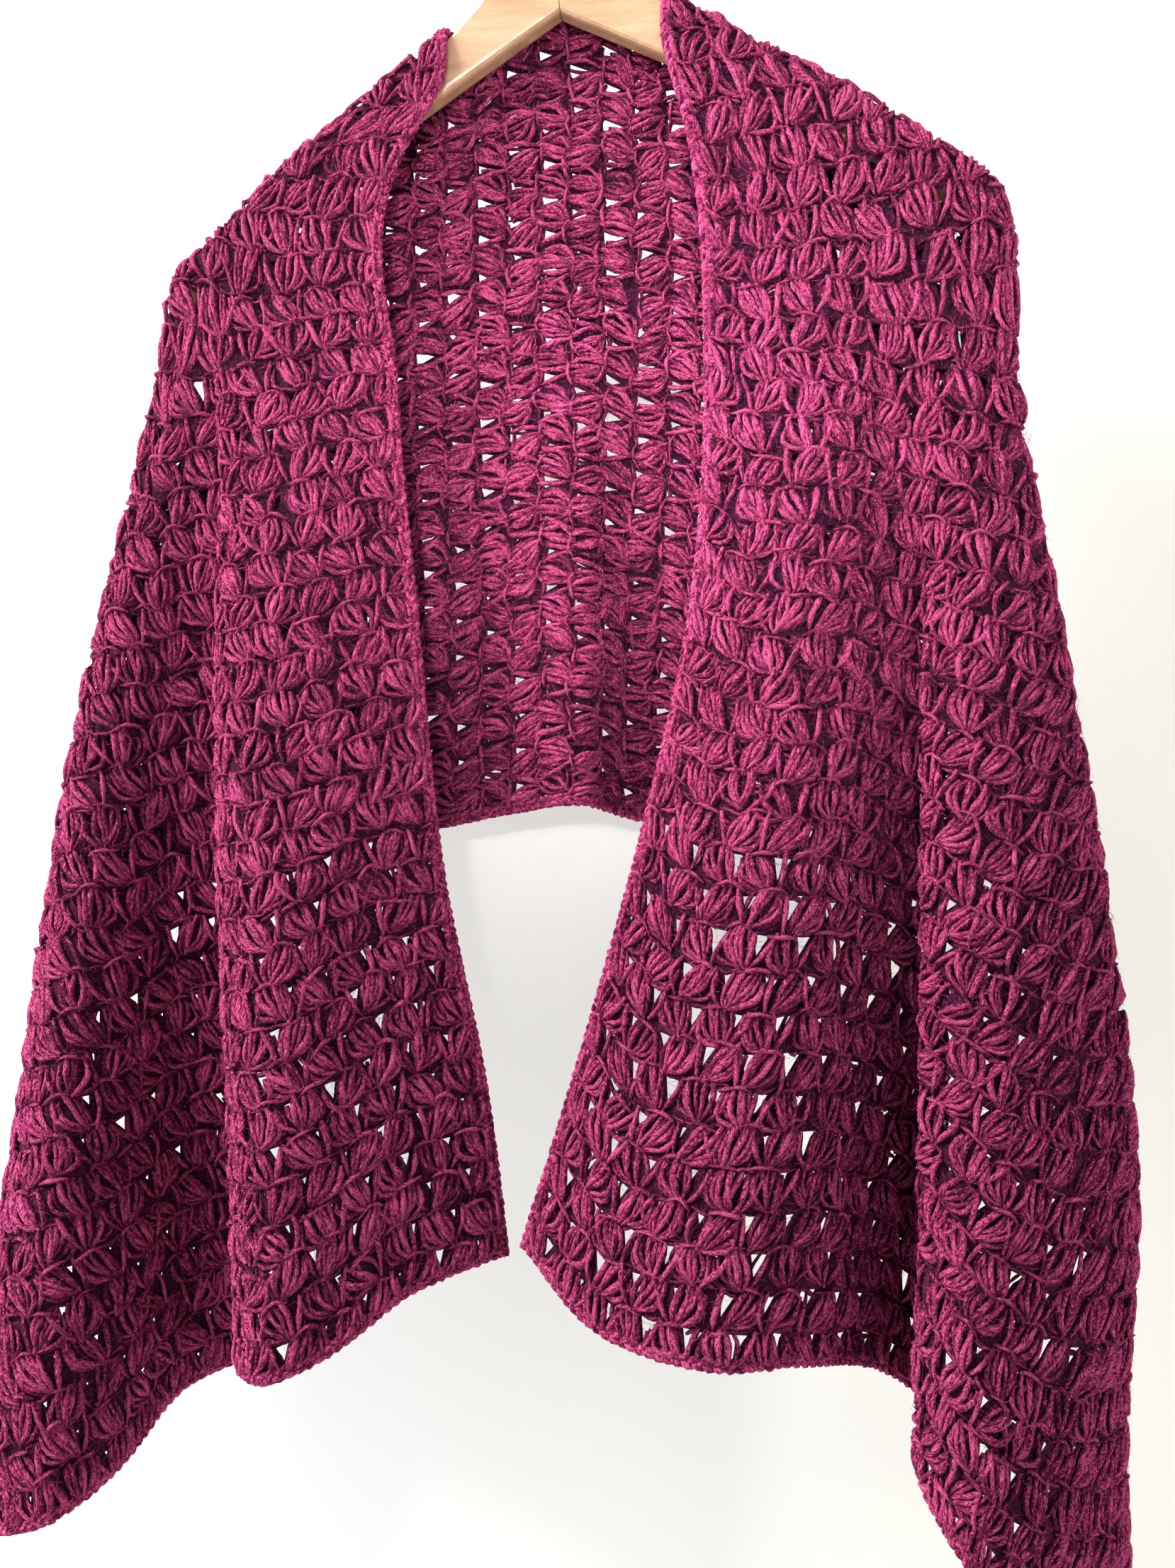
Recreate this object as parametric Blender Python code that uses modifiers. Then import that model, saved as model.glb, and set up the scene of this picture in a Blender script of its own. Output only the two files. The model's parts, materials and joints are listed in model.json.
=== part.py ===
"""Crocheted rectangular shawl draped over a wooden clothes hanger.

Metres, +Z up, +X to the right as seen from the front, the front faces -Y.
The origin is the seat of the hook, where the hanger rests on a rail. Tables are in millimetres.
"""
import math

import bmesh
import bpy
import numpy as np
from mathutils import Matrix, Vector

MM = 0.001

# hanger
TILT = math.radians(3.2)  # it hangs with its left end lower, since the two sides aren't equally heavy
WOOD_THICK = 13.0
WOOD_ROUND = 3.5
MITRE_GAP = 0.4
ARM_END = 222.0
# out: distance from the middle; low and high: the lower and upper edge of the wood
ARM = (
    dict(out=0.0, low=-125.0, high=-72.0),
    dict(out=9.0, low=-130.0, high=-74.0),
    dict(out=20.0, low=-136.0, high=-85.0),
    dict(out=32.0, low=-142.7, high=-100.5),
    dict(out=45.0, low=-150.0, high=-115.5),
    dict(out=60.0, low=-158.5, high=-129.5),
    dict(out=85.0, low=-172.8, high=-148.0),
    dict(out=120.0, low=-194.0, high=-170.5),
    dict(out=160.0, low=-220.0, high=-198.0),
    dict(out=195.0, low=-245.5, high=-225.0),
    dict(out=212.0, low=-259.0, high=-239.0),
    dict(out=ARM_END, low=-264.0, high=-249.0),
)
NECK_OUT = dict(left=62.0, right=55.0)  # where the neck edge crosses each arm

# hook
WIRE = 4.4
HOOK_RADIUS = 20.0  # inside
STEM_FOOT = -71.4  # just clear of the wood

# cloth
WALL = 3.6
SEAM_GAP = 0.6
SEAM_TURN = 1.9  # between the back and a side, where the cloth also turns
EDGING_WIDE = 7.0
EDGING_THICK = 5.2
CREST_RISE = 4.8  # the middle of the wall above the top of the wood
FACE_OUT = WOOD_THICK / 2 + 3.9  # the middle of the wall in front of the middle of the wood
DROPS = (0.12, 0.3, 0.5, 0.7, 0.87, 1.0)  # shares of the way from the arm down to the short end
HEM_DROP = 0.5  # where the hem leaves the back and goes on down the side

# One row per fold line of a front, from the neck edge round to the rear edge.
# across: along the cloth from the neck edge; out: where it crosses the arm; foot: height of the short end
# x and y: where it is at each of the DROPS
RIGHT_FOLDS = (
    dict(name="edge", across=0, out=55, foot=-779, x=(75, 85, 78, 50, 19, -7), y=(-12, -16, -22, -32, -42, -50)),
    dict(name="inner", across=50, out=92, foot=-815, x=(105, 115, 105, 80, 53, 36), y=(-13, -22, -36, -50, -62, -68)),
    dict(name="crest", across=92, out=126, foot=-822, x=(136, 142, 132, 115, 100, 90), y=(-14, -26, -42, -62, -78, -85)),
    dict(name="slope", across=132, out=154, foot=-826, x=(161, 162, 157, 146, 139, 135), y=(-14, -22, -34, -48, -60, -65)),
    dict(name="valley", across=182, out=176, foot=-850, x=(180, 181, 182, 183, 182, 180), y=(-14, -15, -16, -16, -16, -16)),
    dict(name="pocket", across=214, out=188, foot=-874, x=(193, 199, 205, 209, 209, 207), y=(-14, -13, -10, -8, -7, -8)),
    dict(name="lip", across=254, out=198, foot=-875, x=(204, 201, 198, 195, 192, 190), y=(-14, -18, -28, -43, -54, -60)),
    dict(name="ridge", across=300, out=208, foot=-908, x=(219, 221, 220, 218, 213, 209), y=(-13, -25, -43, -63, -77, -84)),
    dict(name="outer", across=345, out=217, foot=-945, x=(235, 247, 255, 257, 251, 248), y=(-9, -20, -35, -50, -60, -64)),
    dict(name="side", across=400, out=222, foot=-965, x=(246, 266, 289, 303, 295, 291), y=(1, -2, -5, -10, -15, -20)),
    dict(name="heel", across=430, out=218, foot=-966, x=(241, 261, 284, 304, 302, 300), y=(14, 20, 22, 16, 8, -4)),
    dict(name="rear", across=455, out=206, foot=-960, x=(224, 240, 262, 292, 299, 306), y=(18, 28, 34, 33, 26, 10)),
)
LEFT_FOLDS = (
    dict(name="edge", across=0, out=62, foot=-791, x=(-82, -80, -67, -52, -28, -16), y=(-12, -16, -20, -24, -28, -30)),
    dict(name="inner", across=42, out=90, foot=-803, x=(-107, -106, -98, -87, -71, -60), y=(-13, -20, -32, -44, -53, -58)),
    dict(name="crest", across=84, out=118, foot=-825, x=(-135, -134, -127, -116, -104, -95), y=(-14, -24, -42, -62, -76, -83)),
    dict(name="ridge", across=115, out=142, foot=-837, x=(-160, -159, -151, -138, -128, -123), y=(-14, -26, -46, -68, -85, -92)),
    dict(name="lip", across=150, out=154, foot=-843, x=(-170, -175, -173, -162, -150, -145), y=(-14, -20, -33, -50, -66, -73)),
    dict(name="pocket", across=204, out=166, foot=-872, x=(-178, -181, -183, -181, -178, -177), y=(-14, -11, -5, 0, 3, 4)),
    dict(name="valley", across=232, out=178, foot=-886, x=(-190, -201, -208, -209, -208, -207), y=(-14, -11, -8, -5, -3, -3)),
    dict(name="slope", across=272, out=192, foot=-917, x=(-202, -221, -230, -233, -232, -231), y=(-13, -16, -21, -28, -34, -36)),
    dict(name="outer", across=312, out=216, foot=-931, x=(-216, -238, -251, -257, -262, -254), y=(-9, -19, -33, -48, -59, -63)),
    dict(name="side", across=378, out=222, foot=-962, x=(-230, -259, -284, -303, -324, -330), y=(1, -2, -6, -12, -19, -24)),
    dict(name="heel", across=408, out=218, foot=-968, x=(-226, -254, -282, -308, -330, -339), y=(14, 20, 22, 15, 6, -6)),
    dict(name="rear", across=432, out=206, foot=-962, x=(-210, -235, -262, -297, -325, -341), y=(18, 28, 34, 32, 25, 11)),
)
BACK_DROPS = (0.15, 0.4, 0.7, 1.0)
# The back, from one side to the other. A row with out crosses an arm, one with top starts at the neck edge.
BACK_FOLDS = (
    dict(name="left_side", out=-172, foot=-600, x=(-180, -190, -197, -202), y=(13, 20, 28, 31)),
    dict(name="left_fold", out=-120, foot=-585, x=(-122, -126, -131, -136), y=(12, 17, 25, 29)),
    dict(name="left_shoulder", out=-88, foot=-577, x=(-91, -95, -99, -102), y=(12, 15, 22, 25)),
    dict(name="left_neck", out=-63, foot=-573, x=(-66, -72, -76, -79), y=(12, 14, 19, 22)),
    dict(name="left_neck_turn", out=-58, skip=1, clear=0.8, foot=-570, x=(-58, -63, -66, -68), y=(12, 14, 18, 20)),
    dict(name="left_neck_back", out=-53, skip=2, foot=-568, x=(-50, -53, -56, -57), y=(12, 13, 17, 18)),
    dict(name="left_middle", x0=-24, top=-113, foot=-562, x=(-25, -26, -27, -28), y=(11, 13, 14, 11)),
    dict(name="ridge", x0=10, top=-107, foot=-556, x=(11, 12, 13, 14), y=(11, 13, 8, 3)),
    dict(name="hollow", x0=33, top=-109, foot=-565, x=(36, 39, 42, 44), y=(12, 18, 27, 33)),
    dict(name="right_neck_back", out=45, skip=2, clear=0.8, foot=-568, x=(54, 58, 62, 64), y=(12, 19, 29, 36)),
    dict(name="right_neck_turn", out=51, skip=1, clear=2.0, foot=-571, x=(61, 66, 71, 74), y=(12, 19, 29, 35)),
    dict(name="right_neck", out=56, clear=0.5, foot=-574, x=(68, 75, 81, 85), y=(12, 18, 28, 33)),
    dict(name="right_shoulder", out=86, foot=-580, x=(95, 102, 109, 113), y=(12, 17, 27, 31)),
    dict(name="right_fold", out=120, foot=-588, x=(124, 131, 139, 145), y=(12, 17, 25, 28)),
    dict(name="right_side", out=172, foot=-603, x=(181, 190, 200, 207), y=(13, 20, 28, 31)),
)

MATERIALS = dict(
    wood=dict(base_color=(0.78, 0.50, 0.24), roughness=0.45, metallic=0.0),
    steel=dict(base_color=(0.62, 0.62, 0.63), roughness=0.28, metallic=1.0),
    wool=dict(base_color=(0.33, 0.035, 0.12), roughness=0.9, metallic=0.0),
    edging=dict(base_color=(0.38, 0.045, 0.14), roughness=0.9, metallic=0.0),
)

for old in list(bpy.data.objects):
    bpy.data.objects.remove(old, do_unlink=True)
parts = bpy.data.collections.new("shawl_on_hanger")
bpy.context.scene.collection.children.link(parts)


def material(name, base_color, roughness, metallic):
    made = bpy.data.materials.new(name)
    made.use_nodes = True
    shader = made.node_tree.nodes["Principled BSDF"]
    shader.inputs["Base Color"].default_value = (*base_color, 1.0)
    shader.inputs["Roughness"].default_value = roughness
    shader.inputs["Metallic"].default_value = metallic
    return made


SHADES = {name: material(name, **row) for name, row in MATERIALS.items()}


def add(name, mesh, shade):
    made = bpy.data.objects.new(name, mesh)
    made.data.materials.append(SHADES[shade])
    parts.objects.link(made)
    return made


def mesh_from(name, points, faces):
    """A mesh from points in millimetres, with its faces turned outwards."""
    mesh = bpy.data.meshes.new(name)
    mesh.from_pydata([tuple(float(c) * MM for c in p) for p in points], [], faces)
    work = bmesh.new()
    work.from_mesh(mesh)
    bmesh.ops.recalc_face_normals(work, faces=work.faces)
    work.to_mesh(mesh)
    work.free()
    for face in mesh.polygons:
        face.use_smooth = True
    return mesh


def smooth(keys, values, at, level=False):
    """A smooth curve through values at keys, read at the places in at. A level one never overshoots."""
    keys, values, at = np.asarray(keys, float), np.asarray(values, float), np.asarray(at, float)
    slope = np.diff(values, axis=0) / np.diff(keys)[:, None]
    step = np.diff(keys)[:, None]
    inner = (slope[:-1] * step[1:] + slope[1:] * step[:-1]) / (step[1:] + step[:-1])
    if level:
        both = slope[:-1] * slope[1:]
        inner = np.where(both > 0, 2 * both / (slope[:-1] + slope[1:] + 1e-12 * (both <= 0)), 0.0)
    tangent = np.concatenate([slope[:1], inner, slope[-1:]])
    i = np.clip(np.searchsorted(keys, at, side="right") - 1, 0, len(keys) - 2)
    h = (keys[i + 1] - keys[i])[:, None]
    t = ((at - keys[i]) / h[:, 0])[:, None]
    return (
        (2 * t**3 - 3 * t**2 + 1) * values[i]
        + (t**3 - 2 * t**2 + t) * h * tangent[i]
        + (3 * t**2 - 2 * t**3) * values[i + 1]
        + (t**3 - t**2) * h * tangent[i + 1]
    )


def hung(x, z):
    """A place on the hanger after it tilts about the hook's seat."""
    return x * math.cos(TILT) - z * math.sin(TILT), x * math.sin(TILT) + z * math.cos(TILT)


def arm_top(out, side):
    """The top of the wood at that distance from the middle, side -1 left or 1 right."""
    high = np.interp(out, [row["out"] for row in ARM], [row["high"] for row in ARM])
    return hung(side * out, high)


# the hanger's two arms, each a loft of rounded sections, mitred in the middle
def section(row, side):
    """Eight corners pairs of a rounded upright rectangle."""
    half, r = WOOD_THICK / 2, WOOD_ROUND
    out = max(row["out"], MITRE_GAP / 2)
    if row["out"] == ARM_END:
        half, r = half - 2.5, r - 1.5
    ring = []
    for cy, cz, start in (
        (half - r, row["high"] - r, 0),
        (-half + r, row["high"] - r, 90),
        (-half + r, row["low"] + r, 180),
        (half - r, row["low"] + r, 270),
    ):
        for k in range(4):
            a = math.radians(start + 30 * k)
            x, z = hung(side * out, cz + r * math.sin(a))
            ring.append((x, cy + r * math.cos(a), z))
    return ring


def loft(name, rings, shade):
    n = len(rings[0])
    points = [p for ring in rings for p in ring]
    faces = [tuple(range(n)), tuple(range(len(points) - n, len(points)))]
    for k in range(len(rings) - 1):
        for i in range(n):
            j = (i + 1) % n
            faces.append((k * n + i, k * n + j, (k + 1) * n + j, (k + 1) * n + i))
    return add(name, mesh_from(name, points, faces), shade)


for name, side in (("hanger_arm_left", -1), ("hanger_arm_right", 1)):
    loft(name, [section(row, side) for row in ARM], "wood")

# the hook: round wire with its ends filled
radius = HOOK_RADIUS + WIRE / 2
centre = -HOOK_RADIUS
route = [
    (radius * math.cos(math.radians(a)), centre + radius * math.sin(math.radians(a)))
    for a in range(195, -50, -15)
]
route += [(9.0, centre - 24.0), (2.5, centre - 30.5), (0.0, centre - 38.0), (0.0, STEM_FOOT)]
curve = bpy.data.curves.new("hook", "CURVE")
curve.dimensions = "3D"
curve.bevel_depth = WIRE / 2 * MM
curve.bevel_resolution = 3
curve.use_fill_caps = True
line = curve.splines.new("POLY")
line.points.add(len(route) - 1)
for point, (x, z) in zip(line.points, route):
    x, z = hung(x, z)
    point.co = (x * MM, 0.0, z * MM, 1.0)
add("hook", curve, "steel")


# the cloth
def over_arm(out, side, y_sign, end_x=0.0):
    """The wall's middle as it comes over the wood: crest, shoulder, and down the face."""
    x, top = arm_top(out, side)
    x += side * end_x
    return [
        (x, y_sign * 0.8, top + CREST_RISE),
        (x, y_sign * (FACE_OUT - 3.4), top + CREST_RISE - 1.3),
        (x, y_sign * FACE_OUT, top - 5.0),
        (x, y_sign * (FACE_OUT + 0.8), top - 21.0),
    ]


TOP_DROPS = (0.0, 0.013, 0.027, 0.052)


def front_line(row, side):
    """The points of one fold line of a front, from the crest of the arm to the short end."""
    if row["name"] == "side":
        x, top = arm_top(row["out"], side)
        start = [
            (x + side * 3.8, 0.0, top + 3.2),
            (x + side * 5.2, 0.0, top - 3.0),
            (x + side * 6.0, 0.0, top - 10.0),
            (x + side * 9.0, 0.0, top - 25.0),
        ]
    elif row["name"] == "heel":
        x, top = arm_top(row["out"], side)
        start = [
            (x + side * 1.2, 1.6, top + 4.0),
            (x + side * 2.2, 6.8, top + 1.6),
            (x + side * 3.2, 9.8, top - 6.0),
            (x + side * 5.5, 11.0, top - 22.0),
        ]
    else:
        start = over_arm(row["out"], side, 1 if row["name"] == "rear" else -1)
    top = start[0][2]
    free = [
        (x, y, top + drop * (row["foot"] - top))
        for drop, x, y in zip(DROPS, row["x"], row["y"])
    ]
    return np.array(start + free, float)


class Front:
    """A front and its side: a smooth surface across its fold lines."""

    def __init__(self, rows, side):
        self.names = [row["name"] for row in rows]
        self.across = np.array([row["across"] for row in rows], float)
        self.lines = [front_line(row, side) for row in rows]
        self.width = self.across[-1]

    def at(self, across, drop):
        """Points at each pair of a place across and a share of the drop."""
        across, drop = np.broadcast_arrays(np.asarray(across, float), np.asarray(drop, float))
        flat = drop.ravel()
        down = np.stack([smooth(TOP_DROPS + DROPS, line, flat) for line in self.lines])
        made = [smooth(self.across, down[:, i], [a])[0] for i, a in enumerate(across.ravel())]
        return np.array(made).reshape(*across.shape, 3)


class Back:
    """The back between the two seams, from the arms and the neck edge to the hem."""

    def __init__(self, left, right):
        tops, lines = TOP_DROPS, []
        seam = np.array([0.0, 0.013, 0.027, 0.052, *BACK_DROPS])
        for front, side in ((left, -1), (right, 1)):
            line = front.at(front.width, seam * HEM_DROP)
            line[:, 0] -= side * SEAM_TURN
            lines.append(line)
        middle = []
        for row in BACK_FOLDS:
            if "out" in row:
                start = over_arm(abs(row["out"]), math.copysign(1, row["out"]), 1)[row.get("skip", 0):]
                clear = row.get("clear", 0.0)
                start[:2] = [(x, y + clear, z + clear) for x, y, z in start[:2]]
                while len(start) < 4:  # the neck edge crosses the wood here, so this row starts lower
                    x, y, z = start[-1]
                    start.append((x, FACE_OUT + 0.8, z - 8.0))
            else:
                start = [(row["x0"], FACE_OUT + 0.6, row["top"] - d) for d in (0.0, 5.0, 11.0, 22.0)]
            top = start[0][2]
            free = [
                (x, y, top + drop * (row["foot"] - top))
                for drop, x, y in zip(BACK_DROPS, row["x"], row["y"])
            ]
            middle.append(np.array(start + free, float))
        self.lines = [lines[0], *middle, lines[1]]
        self.keys = tops + BACK_DROPS
        feet = np.array([line[-1] for line in self.lines])
        self.across = np.concatenate([[0], np.cumsum(np.linalg.norm(np.diff(feet, axis=0), axis=1))])
        self.width = self.across[-1]

    def at(self, across, drop):
        across, drop = np.broadcast_arrays(np.asarray(across, float), np.asarray(drop, float))
        down = np.stack([smooth(self.keys, line, drop.ravel()) for line in self.lines])
        made = [smooth(self.across, down[:, i], [a], level=True)[0] for i, a in enumerate(across.ravel())]
        return np.array(made).reshape(*across.shape, 3)


def wall(name, grid, shade):
    """A cloth wall on a grid of points."""
    rows, columns = grid.shape[:2]
    faces = [
        (r * columns + c, r * columns + c + 1, (r + 1) * columns + c + 1, (r + 1) * columns + c)
        for r in range(rows - 1)
        for c in range(columns - 1)
    ]
    made = add(name, mesh_from(name, grid.reshape(-1, 3), faces), shade)
    solid = made.modifiers.new("wall", "SOLIDIFY")
    solid.thickness = WALL * MM
    solid.offset = 0.0
    return made


def cord(name, path, inward, shade):
    """An edging: a flattened cord along path, reaching as far as inward to each side."""
    up = np.cross(np.gradient(path, axis=0), inward)
    up *= EDGING_THICK / 2 / np.linalg.norm(up, axis=1)[:, None]
    angles = [math.radians(45 * k + 22.5) for k in range(8)]
    rings = [
        [p + i * math.cos(a) + u * math.sin(a) for a in angles]
        for p, i, u in zip(path, inward, up)
    ]
    return loft(name, rings, shade)


SKIRT = EDGING_WIDE + SEAM_GAP  # the width that an edging takes at an edge
front_left, front_right = Front(LEFT_FOLDS, -1), Front(RIGHT_FOLDS, 1)
back = Back(front_left, front_right)
TOP_STEPS = [0.0, 0.007, 0.014, 0.021, 0.029, 0.045, 0.08]
STEP = 0.002


def rate(surface, across, drop, edge):
    """Millimetres away from an edge for one unit across, or for one unit of drop."""
    here = surface.at(across, drop)
    beside = surface.at(across + (-1.0 if edge == "rear" else 1.0), drop) - here
    under = surface.at(across, drop + (STEP if edge == "neck" else -STEP)) - here
    move, line, unit = (beside, under, 1.0) if edge in ("front", "rear") else (under, beside, STEP)
    line = line / np.linalg.norm(line, axis=-1)[..., None]
    return np.linalg.norm(move - (move * line).sum(-1)[..., None] * line, axis=-1) / unit


def edging(name, surface, across, drop, edge):
    """An edging whose outside is the edge of the cloth at across and drop."""
    across, drop = np.broadcast_arrays(np.asarray(across, float), np.asarray(drop, float))
    half = EDGING_WIDE / 2 / rate(surface, across, drop, edge)
    shift = {"front": (half, 0), "rear": (-half, 0), "neck": (0, half), "foot": (0, -half)}[edge]
    middle = surface.at(across + shift[0], drop + shift[1])
    return cord(name, middle, middle - surface.at(across, drop), "edging")


for label, front in (("left", front_left), ("right", front_right)):
    whole = front.width
    turn = [HEM_DROP, HEM_DROP + 0.012]
    drops = np.array(sorted(TOP_STEPS + turn + list(np.linspace(0.12, 0.47, 8)) + list(np.linspace(0.55, 1.0, 10))))
    start = SKIRT / rate(front, 0.0, drops, "front")
    # below the hem the rear edge has an edging too
    rear = whole - np.where(drops > HEM_DROP, SKIRT / rate(front, whole, drops, "rear"), 0.0)
    across = start[:, None] + (rear - start)[:, None] * np.linspace(0, 1, 43)[None, :]
    # the cloth turns sharply in its pocket, so the seam is wider there
    bend = np.abs(across[-1] - front.across[front.names.index("pocket")]) < 50
    foot = 1 - (SKIRT + np.where(bend, 0.8, -0.3)) / rate(front, across[-1], 1.0, "foot")
    wall(f"shawl_front_{label}", front.at(across, drops[:, None] * foot[None, :]), "wool")

    # the edgings bend at the same places as the wall beside them
    edging(f"edging_front_{label}", front, 0.0, np.array([0.004, *drops[1:] * foot[0], 1.0]), "front")
    clear = 2.0
    ends = [across[-1, 0] + clear, *across[-1, 1:-1], across[-1, -1] - clear]
    edging(f"edging_end_{label}", front, np.array(ends), 1.0, "foot")
    low = drops[drops > HEM_DROP] * foot[-1]
    edging(f"edging_side_{label}", front, whole, np.array([low[0] + 0.004, *low[1:], 1.0]), "rear")

names = ["left_seam", *(row["name"] for row in BACK_FOLDS), "right_seam"]
neck = [back.across[names.index(name)] for name in ("left_neck_back", "right_neck_back")]
across = np.unique(np.concatenate([back.across, np.linspace(0, back.width, 27)]))
under = np.clip(np.minimum(across - neck[0], neck[1] - across) / 4.0, 0, 1)
under = under * SKIRT / rate(back, across, 0.0, "neck")
foot = 1 - SKIRT / rate(back, across, 1.0, "foot")
drops = np.array(TOP_STEPS + list(np.linspace(0.13, 1.0, 13)))[:, None]
wall("shawl_back", back.at(across[None, :], under + drops * (foot - under)), "wool")
inside = across[(across > neck[0] + 5) & (across < neck[1] - 5)]
edging("edging_neck", back, inside, 0.0, "neck")
edging("edging_hem", back, np.array([1.0, *across[1:-1], back.width - 1.0]), 1.0, "foot")
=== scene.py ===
"""Looks for the crocheted shawl on its hanger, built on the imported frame. Metres; tables in millimetres."""

import json
import math

import bpy
import numpy as np
from mathutils import Matrix, Vector

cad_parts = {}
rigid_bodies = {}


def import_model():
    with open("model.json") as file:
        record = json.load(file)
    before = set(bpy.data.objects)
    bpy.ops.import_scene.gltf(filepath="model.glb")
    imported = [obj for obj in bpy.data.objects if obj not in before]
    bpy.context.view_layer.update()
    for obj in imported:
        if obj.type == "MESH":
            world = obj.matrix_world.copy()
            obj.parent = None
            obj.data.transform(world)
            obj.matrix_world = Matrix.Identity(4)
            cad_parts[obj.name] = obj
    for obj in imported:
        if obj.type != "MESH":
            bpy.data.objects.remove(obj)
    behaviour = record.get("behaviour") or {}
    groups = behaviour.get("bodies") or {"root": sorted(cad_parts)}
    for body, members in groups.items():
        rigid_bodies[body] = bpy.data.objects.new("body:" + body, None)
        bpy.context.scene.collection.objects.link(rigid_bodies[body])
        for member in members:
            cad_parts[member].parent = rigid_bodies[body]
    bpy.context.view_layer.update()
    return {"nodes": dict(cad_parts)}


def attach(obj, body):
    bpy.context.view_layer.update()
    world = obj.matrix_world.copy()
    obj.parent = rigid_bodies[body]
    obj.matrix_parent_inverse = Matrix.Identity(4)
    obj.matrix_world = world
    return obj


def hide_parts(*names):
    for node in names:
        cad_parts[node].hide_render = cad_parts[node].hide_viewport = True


for old in list(bpy.data.objects):
    bpy.data.objects.remove(old)
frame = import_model()
MM = 0.001
rng = np.random.default_rng(7)

# camera, first: a phone held level, turned a little to the hanger's left
EYE = Vector((0.1053, -0.6831, -0.5442))
TURN = math.radians(7.0)
FOCAL_PIXELS, TALL = 1780.0, 2212.0
camera_data = bpy.data.cameras.new("camera")
camera_data.sensor_width = 36.0
camera_data.lens = 36.0 * FOCAL_PIXELS / TALL
camera_data.clip_start = 0.01
camera = bpy.data.objects.new("camera", camera_data)
bpy.context.scene.collection.objects.link(camera)
camera.matrix_world = (
    Matrix.Translation(EYE) @ Matrix.Rotation(TURN, 4, "Z") @ Matrix.Rotation(math.pi / 2, 4, "X")
)
bpy.context.scene.camera = camera

# the drape: the same fold lines as the solids
TILT = math.radians(3.2)
WOOD_THICK = 13.0
CREST_RISE = 4.8
FACE_OUT = WOOD_THICK / 2 + 3.9
SEAM_TURN = 1.9
DROPS = (0.12, 0.3, 0.5, 0.7, 0.87, 1.0)
HEM_DROP = 0.5
ARM_HIGH = (
    (0, -72), (9, -74), (20, -85), (32, -100.5), (45, -115.5), (60, -129.5),
    (85, -148), (120, -170.5), (160, -198), (195, -225), (212, -239), (222, -249),
)
# name, place across, where it crosses the arm, height of the short end, x and y at each of the DROPS
RIGHT_FOLDS = (
    ("edge", 0, 55, -779, (75, 85, 78, 50, 19, -7), (-12, -16, -22, -32, -42, -50)),
    ("inner", 50, 92, -815, (105, 115, 105, 80, 53, 36), (-13, -22, -36, -50, -62, -68)),
    ("crest", 92, 126, -822, (136, 142, 132, 115, 100, 90), (-14, -26, -42, -62, -78, -85)),
    ("slope", 132, 154, -826, (161, 162, 157, 146, 139, 135), (-14, -22, -34, -48, -60, -65)),
    ("valley", 182, 176, -850, (180, 181, 182, 183, 182, 180), (-14, -15, -16, -16, -16, -16)),
    ("pocket", 214, 188, -874, (193, 199, 205, 209, 209, 207), (-14, -13, -10, -8, -7, -8)),
    ("lip", 254, 198, -875, (204, 201, 198, 195, 192, 190), (-14, -18, -28, -43, -54, -60)),
    ("ridge", 300, 208, -908, (219, 221, 220, 218, 213, 209), (-13, -25, -43, -63, -77, -84)),
    ("outer", 345, 217, -945, (235, 247, 255, 257, 251, 248), (-9, -20, -35, -50, -60, -64)),
    ("side", 400, 222, -965, (246, 266, 289, 303, 295, 291), (1, -2, -5, -10, -15, -20)),
    ("heel", 430, 218, -966, (241, 261, 284, 304, 302, 300), (14, 20, 22, 16, 8, -4)),
    ("rear", 455, 206, -960, (224, 240, 262, 292, 299, 306), (18, 28, 34, 33, 26, 10)),
)
LEFT_FOLDS = (
    ("edge", 0, 62, -791, (-82, -80, -67, -52, -28, -16), (-12, -16, -20, -24, -28, -30)),
    ("inner", 42, 90, -803, (-107, -106, -98, -87, -71, -60), (-13, -20, -32, -44, -53, -58)),
    ("crest", 84, 118, -825, (-135, -134, -127, -116, -104, -95), (-14, -24, -42, -62, -76, -83)),
    ("ridge", 115, 142, -837, (-160, -159, -151, -138, -128, -123), (-14, -26, -46, -68, -85, -92)),
    ("lip", 150, 154, -843, (-170, -175, -173, -162, -150, -145), (-14, -20, -33, -50, -66, -73)),
    ("pocket", 204, 166, -872, (-178, -181, -183, -181, -178, -177), (-14, -11, -5, 0, 3, 4)),
    ("valley", 232, 178, -886, (-190, -201, -208, -209, -208, -207), (-14, -11, -8, -5, -3, -3)),
    ("slope", 272, 192, -917, (-202, -221, -230, -233, -232, -231), (-13, -16, -21, -28, -34, -36)),
    ("outer", 312, 216, -931, (-216, -238, -251, -257, -262, -254), (-9, -19, -33, -48, -59, -63)),
    ("side", 378, 222, -962, (-230, -259, -284, -303, -324, -330), (1, -2, -6, -12, -19, -24)),
    ("heel", 408, 218, -968, (-226, -254, -282, -308, -330, -339), (14, 20, 22, 15, 6, -6)),
    ("rear", 432, 206, -962, (-210, -235, -262, -297, -325, -341), (18, 28, 34, 32, 25, 11)),
)
BACK_DROPS = (0.15, 0.4, 0.7, 1.0)
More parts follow.
